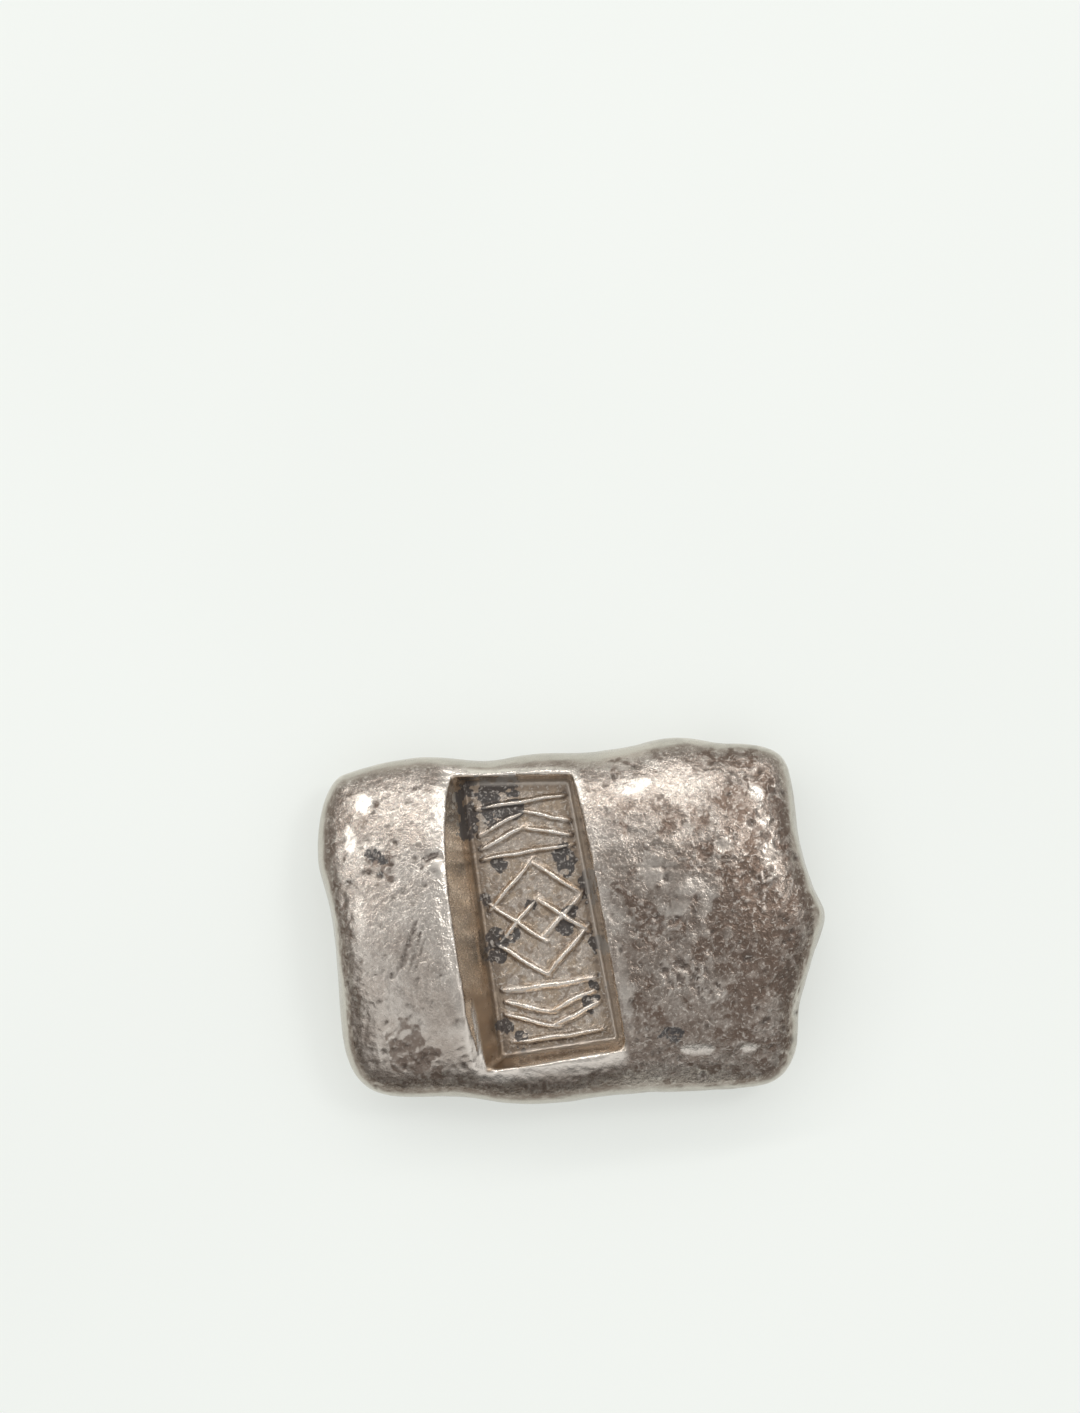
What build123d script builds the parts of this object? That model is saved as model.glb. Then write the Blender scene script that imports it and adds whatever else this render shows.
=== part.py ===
"""A small cast silver ingot with one struck trough across its upper face.

The casting is a flattened pillow: a flat resting face, sides that roll out to an uneven widest line, and a
crowned upper face. One drafted punch, held a little askew and leaning to one side, has been driven into the
crown. Its engraved end left a raised figure on the floor of the trough.

Millimetres, +Z up. X runs along the ingot, Y across it, and the origin is under the middle of its box.
"""

import os
from math import acos, atan2, cos, degrees, pi, radians, sin, tan

from build123d import *

# Overall size
LENGTH = 30.4
WIDTH = 21.6
HEIGHT = 6.9

# Side profile: part of a superellipse below the widest line, and a quarter of one above it
WAIST_HEIGHT = 2.8  # height of the widest line above the resting face
BASE_INSET = 2.6  # from the widest line in to where the roll would lie level
BASE_ROUNDNESS = 2.1  # 2 is an ellipse, and more is squarer
BASE_CUT = 0.97  # share of the roll's depth at which the resting face cuts it off
TOP_LENGTH = 15.0  # box of the level top, which is an ellipse
TOP_WIDTH = 5.6
CROWN_END_ROUNDNESS = 3.0
CROWN_SIDE_ROUNDNESS = 2.1
BASE_LEVELS = 5
CROWN_LEVELS = 7
LEVEL_SPREAD = 1.6  # 1 spaces the crown's levels evenly inwards, and more draws them to the widest line

# The widest line, clockwise from above, as (share of the side that is passed, share of the deepest dent)
DEEPEST_DENT = 2.35
FAR_SIDE = (
    (0.062, 0.350),
    (0.130, 0.170),
    (0.235, 0.060),
    (0.345, 0.255),
    (0.450, 0.170),
    (0.545, 0.235),
    (0.650, 0.115),
    (0.735, 0.010),
    (0.810, 0.200),
    (0.905, 0.425),
)
RIGHT_SIDE = (
    (0.060, 0.980),
    (0.150, 0.620),
    (0.270, 0.545),
    (0.375, 0.410),
    (0.455, 0.220),
    (0.520, 0.000),
    (0.595, 0.195),
    (0.690, 0.530),
    (0.800, 0.855),
    (0.900, 1.000),
)
NEAR_SIDE = (
    (0.110, 0.285),
    (0.180, 0.035),
    (0.280, 0.035),
    (0.400, 0.110),
    (0.535, 0.010),
    (0.660, 0.085),
    (0.755, 0.320),
    (0.860, 0.405),
    (0.920, 0.620),
)
LEFT_SIDE = (
    (0.110, 0.600),
    (0.195, 0.340),
    (0.320, 0.285),
    (0.480, 0.285),
    (0.590, 0.215),
    (0.710, 0.010),
    (0.830, 0.105),
    (0.905, 0.320),
)

# The struck trough, measured on its floor
TROUGH_DEPTH = 3.1  # from the level top to the middle of the floor
TROUGH_X = -2.1
TROUGH_Y = 0.65
TROUGH_SKEW = 5.0  # degrees that the trough is turned, seen from above
TROUGH_LEAN = 5.0  # degrees that the floor falls towards the left
FLOOR_LEFT_FAR = 3.25  # from the middle of the floor to its left edge, at the far end
FLOOR_LEFT_NEAR = 3.5  # the same at the near end
FLOOR_RIGHT_FAR = 3.1  # to its right edge
FLOOR_RIGHT_NEAR = 3.6
FAR_LEFT_LIP = 1.5  # from the floor's far left corner to the side of the box
FAR_RIGHT_LIP = 2.4
NEAR_LIP = 3.35
LEFT_FLANK = 23.0  # degrees from square to the floor
RIGHT_FLANK = 13.0
FAR_FLANK = 20.0
NEAR_FLANK = 15.0
FLOOR_ROUNDING = 0.25
PUNCH_CLEARANCE = 2.0  # how far the punch still stands above the level top

# The raised figure on the floor: linked lozenges between bars, with a pair of chevrons beyond either bar
FIGURE_SIDE_MARGIN = 0.4  # plain floor left at either side
FIGURE_END_MARGIN = 0.8
FIGURE_GAP = 0.6  # between one motif and the next
CHEVRON_DROP = 0.95
CHEVRON_PITCH = 0.9
LOZENGE_OVERLAP = 2.4
STROKE_WIDTH = 0.56  # at the root
STROKE_HEIGHT = 0.28
STROKE_DRAFT = 20.0
STROKE_POINT = 0.9  # length of a stroke's pointed end
STROKE_OVERRUN = 0.3  # how far a stroke runs on past the place that it is drawn to
STROKE_ROOT = 0.15  # how far a stroke runs down into the floor


def widest_line():
    """Points of the widest line, clockwise from above."""
    right = LENGTH / 2
    far = WIDTH / 2
    points = [(right * (2 * share - 1), far - dent * DEEPEST_DENT) for share, dent in FAR_SIDE]
    points += [(right - dent * DEEPEST_DENT, far * (1 - 2 * share)) for share, dent in RIGHT_SIDE]
    points += [(right * (1 - 2 * share), dent * DEEPEST_DENT - far) for share, dent in NEAR_SIDE]
    points += [(dent * DEEPEST_DENT - right, far * (2 * share - 1)) for share, dent in LEFT_SIDE]
    return [Vector(*point) for point in points]


def level_curve(end_inset, side_inset, evenness):
    """The widest line drawn in by the given end and side distances.

    Evenness is 0 for the line as it is and 1 for a plain ellipse. Every level takes its spacing from the
    full-size line, so that the levels join up point to point.
    """
    widest = widest_line()
    spacing = [0.0]
    for start, end in zip(widest, widest[1:] + widest[:1]):
        spacing.append(spacing[-1] + (end - start).length)
    points = []
    for point in widest:
        across = point.X / (LENGTH / 2)
        along = point.Y / (WIDTH / 2)
        turn = atan2(along, across)
        across += evenness * (cos(turn) - across)
        along += evenness * (sin(turn) - along)
        points.append(Vector(across * (LENGTH / 2 - end_inset), along * (WIDTH / 2 - side_inset)))
    return Edge.make_spline(points, periodic=True, parameters=spacing)


def drawn_in(rise, inset, roundness):
    """Distance inside the widest line at a share of the way from it to the flat."""
    return inset * (1 - (1 - rise**roundness) ** (1 / roundness))


def levels():
    """Yields (height, end inset, side inset, evenness) from the resting face up to the level top."""
    first = acos(BASE_CUT)
    for step in range(BASE_LEVELS):
        fall = cos(first + (pi / 2 - first) * step / BASE_LEVELS)
        inset = drawn_in(fall, BASE_INSET, BASE_ROUNDNESS)
        yield WAIST_HEIGHT * (1 - fall / BASE_CUT), inset, inset, 0
    for step in range(CROWN_LEVELS + 1):
        inward = (step / CROWN_LEVELS) ** LEVEL_SPREAD
        rise = (1 - (1 - inward) ** CROWN_END_ROUNDNESS) ** (1 / CROWN_END_ROUNDNESS)
        yield (
            WAIST_HEIGHT + (HEIGHT - WAIST_HEIGHT) * rise,
            drawn_in(rise, (LENGTH - TOP_LENGTH) / 2, CROWN_END_ROUNDNESS),
            drawn_in(rise, (WIDTH - TOP_WIDTH) / 2, CROWN_SIDE_ROUNDNESS),
            rise**2,
        )


def floor_plane():
    """The floor of the trough, with X across it, Y along it and Z out of the metal."""
    across = Vector(1, 0, 0).rotate(Axis.Y, -TROUGH_LEAN).rotate(Axis.Z, TROUGH_SKEW)
    out = Vector(0, 0, 1).rotate(Axis.Y, -TROUGH_LEAN).rotate(Axis.Z, TROUGH_SKEW)
    return Plane(origin=(TROUGH_X, TROUGH_Y, HEIGHT - TROUGH_DEPTH), x_dir=across, z_dir=out)


def punch_corners(above):
    """Corners of the punch in a plane at the given height above the floor of the trough."""
    left = above * tan(radians(LEFT_FLANK))
    right = above * tan(radians(RIGHT_FLANK))
    far = WIDTH / 2 - TROUGH_Y + above * tan(radians(FAR_FLANK))
    near = WIDTH / 2 + TROUGH_Y + above * tan(radians(NEAR_FLANK))
    return [
        (-FLOOR_LEFT_NEAR - left, NEAR_LIP - near),
        (FLOOR_RIGHT_NEAR + right, NEAR_LIP - near),
        (FLOOR_RIGHT_FAR + right, far - FAR_RIGHT_LIP),
        (-FLOOR_LEFT_FAR - left, far - FAR_LEFT_LIP),
    ]


def figure_strokes():
    """The figure on the floor, as the (start, end) of each of its strokes."""
    side = min(FLOOR_LEFT_FAR, FLOOR_LEFT_NEAR, FLOOR_RIGHT_FAR, FLOOR_RIGHT_NEAR) - FIGURE_SIDE_MARGIN
    far = WIDTH / 2 - FAR_RIGHT_LIP - TROUGH_Y - FIGURE_END_MARGIN
    near = NEAR_LIP - WIDTH / 2 - TROUGH_Y + FIGURE_END_MARGIN
    middle = (far + near) / 2
    bar = (far - near) / 2
    chevron = bar - FIGURE_GAP
    inner_bar = chevron - CHEVRON_PITCH - CHEVRON_DROP - FIGURE_GAP
    tip = inner_bar - FIGURE_GAP
    reach = (2 * tip + LOZENGE_OVERLAP) / 4
    strokes = [((-side, bar), (side, bar)), ((-side, inner_bar), (side, inner_bar))]
    for hand in (-side, side):
        for peak in (chevron, chevron - CHEVRON_PITCH):
            strokes.append(((0, peak), (hand, peak - CHEVRON_DROP)))
        strokes.append(((0, tip), (hand, tip - reach)))
        strokes.append(((hand, tip - reach), (0, tip - 2 * reach)))
    upper = [((x0, middle + y0), (x1, middle + y1)) for (x0, y0), (x1, y1) in strokes]
    lower = [((x0, middle - y0), (x1, middle - y1)) for (x0, y0), (x1, y1) in strokes]
    return upper + lower


def stroke_outline(length):
    """Outline of one cut stroke lying along X: a bar with pointed ends."""
    half = length / 2
    side = STROKE_WIDTH / 2
    shoulder = half - STROKE_POINT
    return [(half, 0), (shoulder, side), (-shoulder, side), (-half, 0), (-shoulder, -side), (shoulder, -side)]


floor = floor_plane()

# The figure, each stroke drawn in from its root to its crest
with BuildPart() as figure:
    for (x0, y0), (x1, y1) in figure_strokes():
        run = Vector(x1 - x0, y1 - y0)
        turn = degrees(atan2(run.Y, run.X))
        with BuildSketch(floor.offset(-STROKE_ROOT)):
            with Locations(Location(((x0 + x1) / 2, (y0 + y1) / 2, 0), (0, 0, turn))):
                Polygon(*stroke_outline(run.length + 2 * STROKE_OVERRUN), align=None)
    extrude(amount=STROKE_ROOT + STROKE_HEIGHT, taper=STROKE_DRAFT)

# The punch, upside down in the trough that it leaves, with the figure engraved in its end
with BuildPart() as punch:
    for above in (0, TROUGH_DEPTH + PUNCH_CLEARANCE):
        with BuildSketch(floor.offset(above)):
            Polygon(*punch_corners(above), align=None)
    loft(ruled=True)
    end_face = punch.faces().sort_by(Axis(floor.origin, floor.z_dir))[0]
    fillet(end_face.edges(), FLOOR_ROUNDING)
    add(figure.part, mode=Mode.SUBTRACT)

# The casting, struck by the punch
with BuildPart() as ingot:
    for height, end_inset, side_inset, evenness in levels():
        with BuildSketch(Plane.XY.offset(height)):
            with BuildLine():
                add(level_curve(end_inset, side_inset, evenness))
            make_face()
    loft()
    add(punch.part, mode=Mode.SUBTRACT)

ingot.part.label = "ingot"
os.makedirs("parts", exist_ok=True)
export_step(ingot.part, "parts/ingot.step")
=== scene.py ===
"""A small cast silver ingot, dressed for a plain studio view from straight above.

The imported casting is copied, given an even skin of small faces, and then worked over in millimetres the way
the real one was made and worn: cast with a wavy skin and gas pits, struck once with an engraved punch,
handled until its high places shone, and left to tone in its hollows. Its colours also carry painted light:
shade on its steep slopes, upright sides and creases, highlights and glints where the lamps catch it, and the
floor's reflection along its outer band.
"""

import logging
import math
import random
from dataclasses import dataclass, field
from enum import Enum

import bmesh
import bpy
import numpy as np
from mathutils import Matrix, Vector, noise

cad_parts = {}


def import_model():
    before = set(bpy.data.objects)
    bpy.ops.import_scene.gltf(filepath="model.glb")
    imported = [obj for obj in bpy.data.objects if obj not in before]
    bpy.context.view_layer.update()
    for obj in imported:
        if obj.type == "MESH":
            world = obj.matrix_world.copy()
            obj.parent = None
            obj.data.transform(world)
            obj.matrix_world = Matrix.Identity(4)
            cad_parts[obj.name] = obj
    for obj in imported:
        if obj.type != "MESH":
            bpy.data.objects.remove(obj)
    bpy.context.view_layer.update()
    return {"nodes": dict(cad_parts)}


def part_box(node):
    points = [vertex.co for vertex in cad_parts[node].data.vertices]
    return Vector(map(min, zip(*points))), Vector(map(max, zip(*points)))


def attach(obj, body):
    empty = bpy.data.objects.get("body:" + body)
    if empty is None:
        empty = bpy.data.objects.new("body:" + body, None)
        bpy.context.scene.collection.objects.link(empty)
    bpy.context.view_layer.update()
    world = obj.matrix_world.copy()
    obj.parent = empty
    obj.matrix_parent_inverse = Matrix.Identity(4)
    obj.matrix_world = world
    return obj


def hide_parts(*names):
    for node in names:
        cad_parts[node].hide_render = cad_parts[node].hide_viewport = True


log = logging.getLogger("sycee")

MM = 0.001


def smooth_step(low: float, high: float, value: np.ndarray) -> np.ndarray:
    """Rises from 0 at low to 1 at high without a corner.

    Args:
        low: the value at and below which the result is 0.
        high: the value at and above which the result is 1.
        value: the values to shape.

    Returns:
        The shaped values, each from 0 to 1.
    """
    share = np.clip((value - low) / (high - low), 0.0, 1.0)
    return share * share * (3.0 - 2.0 * share)


def noise_field(points: np.ndarray, scale: float, octaves: int, offset: float) -> np.ndarray:
    """Cloudy noise over a set of points.

    Args:
        points: the points, one to a row, in millimetres.
        scale: size of the largest clouds, in millimetres.
        octaves: how many finer layers are added.
        offset: shift that makes one field unlike the next.

    Returns:
        One value for each point, mostly between -1 and 1.
    """
    shift = Vector((offset, -offset, 0.5 * offset))
    values = [
        noise.fractal(Vector(point) / scale + shift, 1.0, 2.0, octaves, noise_basis="PERLIN_ORIGINAL")
        for point in points
    ]
    return np.array(values)


def crumple_field(points: np.ndarray, scale: float, octaves: int, offset: float) -> np.ndarray:
    """Crumpled noise: thin curved ridges with hollows between them.

    Args:
        points: the points, one to a row, in millimetres.
        scale: distance from one ridge to the next, in millimetres.
        octaves: how many finer layers are added.
        offset: shift that makes one field unlike the next.

    Returns:
        One value for each point, from about -1 in a hollow to 1 on a ridge.
    """
    shift = Vector((offset, 0.7 * offset, -offset))
    values = [
        noise.ridged_multi_fractal(Vector(point) / scale + shift, 1.0, 2.1, octaves, 1.0, 2.0)
        for point in points
    ]
    values = np.array(values)
    return np.clip((values - values.mean()) / (2.0 * values.std()), -1.5, 1.5)


@dataclass
class Skin:
    """The ingot's surface as arrays, in millimetres."""

    points: np.ndarray
    normals: np.ndarray
    edges: np.ndarray

    def spread(self, values: np.ndarray, rounds: int) -> np.ndarray:
        """Averages values with those of their neighbours.

        Args:
            values: one row for each point.
            rounds: how many times the averaging is repeated.

        Returns:
            The averaged values.
        """
        first, second = self.edges[:, 0], self.edges[:, 1]
        count = len(self.points)
        share = np.bincount(first, minlength=count) + np.bincount(second, minlength=count)
        table = values.reshape(count, -1).astype(float)
        for _ in range(rounds):
            total = np.zeros_like(table)
            for column in range(table.shape[1]):
                total[:, column] += np.bincount(first, table[second, column], count)
                total[:, column] += np.bincount(second, table[first, column], count)
            table = 0.5 * table + 0.5 * total / share[:, None]
        return table.reshape(values.shape)

    def ease(self, weight: np.ndarray, rounds: int) -> None:
        """Wears the surface down towards its neighbours' average.

        Args:
            weight: how much each point takes part, from 0 to 1.
            rounds: how many times the wear is repeated.
        """
        for _ in range(rounds):
            worn = self.spread(self.points, 1)
            self.points += (worn - self.points) * weight[:, None]

    def bulge(self) -> np.ndarray:
        """How far each point stands proud of its neighbours, in millimetres, and less than 0 in a hollow."""
        return np.einsum("ij,ij->i", self.points - self.spread(self.points, 6), self.normals)

    def push(self, depth: np.ndarray) -> None:
        """Moves each point along its normal by its own distance, in millimetres."""
        self.points += self.normals * depth[:, None]


@dataclass(frozen=True)
class Punch:
    """The engraved punch, in the frame of the trough's floor, in millimetres."""

    place: tuple[float, float, float] = (-2.1, 0.65, 3.8)
    skew: float = 5.0
    lean: float = 5.0
    left_far: float = 3.25
    left_near: float = 3.5
    right_far: float = 3.1
    right_near: float = 3.6
    near: float = -8.1
    far_left: float = 8.65
    far_right: float = 7.75
    left_flank: float = 23.0
    right_flank: float = 13.0
    far_flank: float = 20.0
    near_flank: float = 15.0

    def frame(self) -> np.ndarray:
        """The floor's axes as rows: across, along and out of the metal."""
        turn = Matrix.Rotation(math.radians(self.skew), 3, "Z") @ Matrix.Rotation(
            math.radians(-self.lean), 3, "Y"
        )
        return np.array(turn.transposed())

    def local(self, points: np.ndarray) -> np.ndarray:
        """The points as (across, along, height) over the floor."""
        return (points - np.array(self.place)) @ self.frame().T

    def world(self, local: np.ndarray) -> np.ndarray:
        """The inverse of local."""
        return local @ self.frame() + np.array(self.place)

    def outside(self, local: np.ndarray) -> np.ndarray:
        """How far points lie outside the punch's flanks, and less than 0 inside them.

        Args:
            local: points from the method local.

        Returns:
            The distance for each point, in millimetres.
        """
        across, along, height = local.T
        share = (along - self.near) / (self.far_left - self.near)
        edge = self.left_near + share * (self.left_far - self.left_near)
        left = -across - edge - height * math.tan(math.radians(self.left_flank))
        share = (along - self.near) / (self.far_right - self.near)
        edge = self.right_near + share * (self.right_far - self.right_near)
        right = across - edge - height * math.tan(math.radians(self.right_flank))
        near = self.near - height * math.tan(math.radians(self.near_flank)) - along
        share = (across + self.left_far) / (self.left_far + self.right_far)
        edge = self.far_left + share * (self.far_right - self.far_left)
        far = along - edge - height * math.tan(math.radians(self.far_flank))
        return np.max(np.stack((left, right, near, far)), axis=0)


@dataclass(frozen=True)
class Stroke:
    """One raised stroke of the figure, from start to end on the floor."""

    start: tuple[float, float]
    end: tuple[float, float]
    half_width: float
    height: float
    bow: float

    def ridge(self, across: np.ndarray, along: np.ndarray) -> np.ndarray:
        """Height of the stroke over the floor, thickest in its middle and pointed at its ends.

        Args:
            across: distances across the floor.
            along: distances along it.

        Returns:
            The height at each place, in millimetres.
        """
        run = np.array(self.end) - np.array(self.start)
        length = float(np.hypot(*run))
        run = run / length
        east = across - self.start[0]
        north = along - self.start[1]
        passed = (east * run[0] + north * run[1]) / length
        middle = 4.0 * np.clip(passed, 0.0, 1.0) * (1.0 - np.clip(passed, 0.0, 1.0))
        aside = north * run[0] - east * run[1] - self.bow * middle
        aside += 0.025 * np.sin(2.4 * length * passed + 40.0 * self.bow)
        fullness = np.clip(middle, 0.0, 1.0) ** 0.38
        reach = np.maximum(self.half_width * (0.25 + 0.75 * fullness), 1e-6)
        profile = np.clip(1.0 - np.abs(aside / reach) ** 1.6, 0.0, 1.0)
        inside = (passed > 0.0) & (passed < 1.0)
        return np.where(inside, self.height * fullness * profile, 0.0)


@dataclass
class Figure:
    """The raised ornament: linked lozenges between bars, with chevrons beyond either bar."""

    side: float = 2.7
    far: float = 6.95
    near: float = -7.3
    gap: float = 0.6
    drop: float = 0.95
    pitch: float = 0.9
    overlap: float = 2.4
    overrun: float = 0.3
    half_width: float = 0.29
    height: float = 0.28
    seed: int = 11

    def lines(self) -> list[tuple[tuple[float, float], tuple[float, float]]]:
        """The strokes' ends, drawn for the far half and mirrored to the near half."""
        middle = (self.far + self.near) / 2
        bar = (self.far - self.near) / 2
        chevron = bar - self.gap
        inner_bar = chevron - self.pitch - self.drop - self.gap
        tip = inner_bar - self.gap
        reach = (2 * tip + self.overlap) / 4
        lines = [((-self.side, bar), (self.side, bar)), ((-self.side, inner_bar), (self.side, inner_bar))]
        for hand in (-self.side, self.side):
            for peak in (chevron, chevron - self.pitch):
                lines.append(((0.0, peak), (hand, peak - self.drop)))
            lines.append(((0.0, tip), (hand, tip - reach)))
            lines.append(((hand, tip - reach), (0.0, tip - 2 * reach)))
        far_half = [((x0, middle + y0), (x1, middle + y1)) for (x0, y0), (x1, y1) in lines]
        near_half = [((x0, middle - y0), (x1, middle - y1)) for (x0, y0), (x1, y1) in lines]
        return far_half + near_half

    def strokes(self) -> list[Stroke]:
        """The strokes as a hand would have cut them, each a little off its line."""
        draw = random.Random(self.seed)
        strokes = []
        for start, end in self.lines():
            run = np.array(end) - np.array(start)
            unit = run / np.hypot(*run)
            first = np.array(start) - unit * (self.overrun + draw.uniform(-0.1, 0.15))
            last = np.array(end) + unit * (self.overrun + draw.uniform(-0.1, 0.15))
            first += np.array((draw.uniform(-0.05, 0.05), draw.uniform(-0.08, 0.08)))
            last += np.array((draw.uniform(-0.05, 0.05), draw.uniform(-0.08, 0.08)))
            width = self.half_width * draw.uniform(0.88, 1.12)
            height = self.height * draw.uniform(0.85, 1.1)
            strokes.append(Stroke(tuple(first), tuple(last), width, height, draw.uniform(-0.06, 0.06)))
        return strokes


class MarkKind(Enum):
    """What a mark on the skin is."""

    PIT = "pit"
    DENT = "dent"
    SCRATCH = "scratch"
    CRUST = "crust"
    STAIN = "stain"
    SLATE = "slate"
    PALE = "pale"
    # A smooth spot that is also brightened as a painted highlight.
    GLOSS_HIGHLIGHT = "gloss_highlight"


@dataclass(frozen=True)
class Mark:
    """A mark seen from above: a round one has one place, and a drawn-out one has two."""

    kind: MarkKind
    start: tuple[float, float]
    size: float
    depth: float = 0.0
    tone: float = 0.0
    end: tuple[float, float] | None = None

    def nearness(self, points: np.ndarray) -> np.ndarray:
        """How near points are to the mark's middle, seen from above.

        Args:
            points: the points, one to a row, in millimetres.

        Returns:
            For each point, 1 on the middle line and 0 from the mark's size outwards.
        """
        place = np.array(self.start)
        run = np.array(self.end or self.start) - place
        length = float(np.hypot(*run))
        offset = points[:, :2] - place
        passed = np.zeros(len(points))
        if length > 0:
            passed = np.clip(offset @ run / length**2, 0.0, 1.0)
        away = np.hypot(*(offset - passed[:, None] * run).T)
        reach = self.size
        if length > 0:
            reach = self.size * (0.25 + 0.75 * np.sqrt(np.clip(4 * passed * (1 - passed), 0.0, 1.0)))
        return np.clip(1.0 - away / np.maximum(reach, 1e-6), 0.0, 1.0)


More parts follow.
